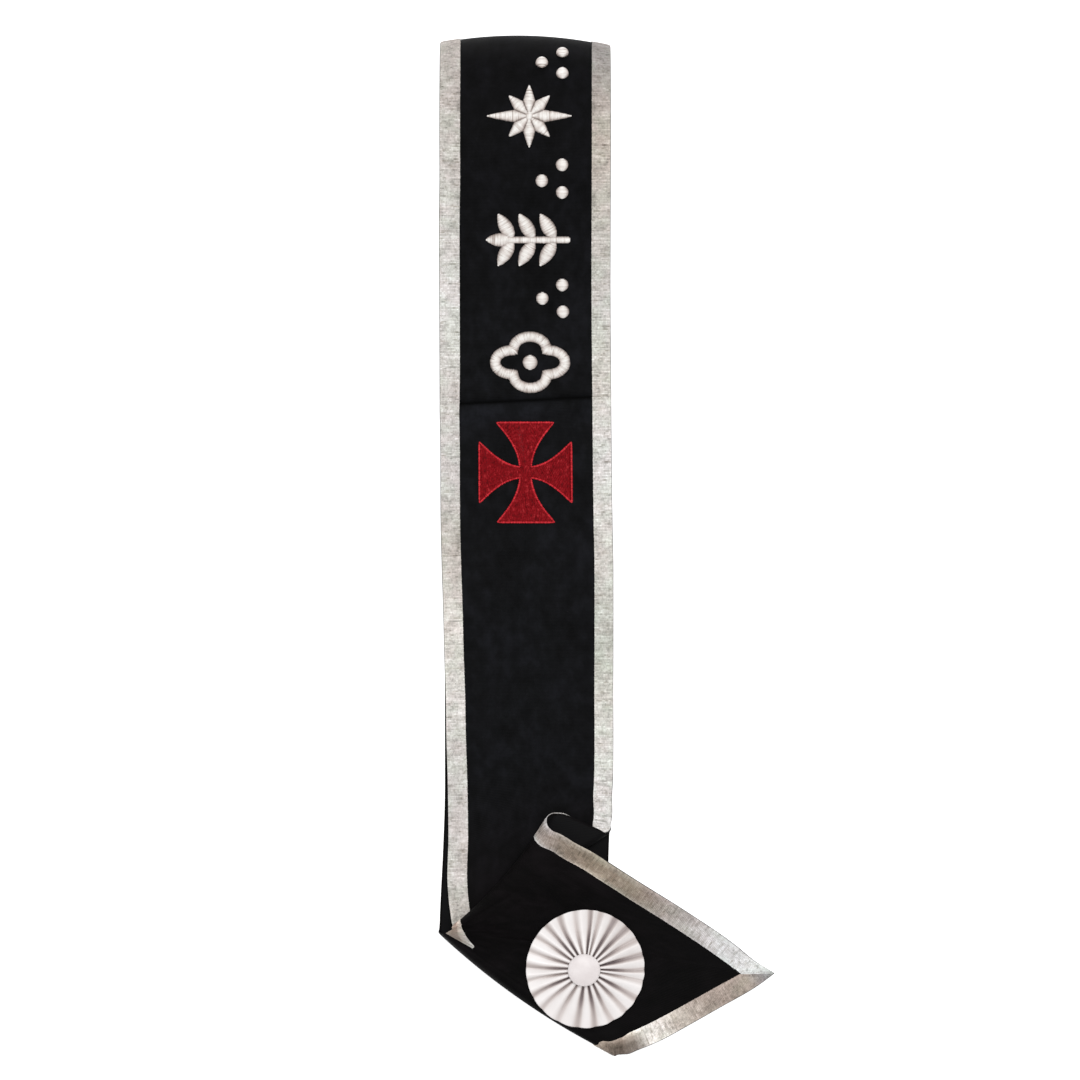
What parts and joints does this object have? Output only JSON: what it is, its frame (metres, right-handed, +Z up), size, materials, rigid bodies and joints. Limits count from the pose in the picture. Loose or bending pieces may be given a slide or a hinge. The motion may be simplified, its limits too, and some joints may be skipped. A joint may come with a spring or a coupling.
{
  "type": "masonic sash",
  "caption": "Black ribbon sash with silver braid borders, padded ornaments, a red cross and a pleated rosette, lying folded with its hip point turned out to one side.",
  "frame": {"origin": "on the surface the sash lies on, under the middle of its bounding box", "axes": "+X to the right of the upper leg, towards the hip point; +Y up the legs to the shoulder fold; +Z up from the surface"},
  "size_m": [0.2104, 0.6362, 0.0459],
  "materials": {
    "ribbon_cloth": "fine cross-ribbed black silk or rayon ribbon",
    "lining_cloth": "smooth black lining cloth",
    "silver_braid": "flat metallic braid, ribbed across its width, slightly tarnished",
    "silver_thread": "padded satin stitch in pale silver thread",
    "red_thread": "dark red filling stitch",
    "red_cord": "bright red satin-stitched outline",
    "backing_cloth": "stiffened white backing cloth",
    "rosette_satin": "white satin ribbon in pressed pleats",
    "button_satin": "white satin drawn over a button form"
  },
  "bodies": {
    "root": {"ribbon": "ribbon_cloth", "lining": "lining_cloth", "outer_braid": "silver_braid", "inner_braid": "silver_braid", "knot_ornament": "silver_thread", "knot_boss": "silver_thread", "sprig_ornament": "silver_thread", "star_ornament": "silver_thread", "dot_low_1": "silver_thread", "dot_low_2": "silver_thread", "dot_low_3": "silver_thread", "dot_middle_1": "silver_thread", "dot_middle_2": "silver_thread", "dot_middle_3": "silver_thread", "dot_high_1": "silver_thread", "dot_high_2": "silver_thread", "dot_high_3": "silver_thread", "cross_field": "red_thread", "cross_outline": "red_cord", "rosette_backing": "backing_cloth", "rosette_pleats": "rosette_satin", "rosette_button": "button_satin"}
  },
  "joints": []
}
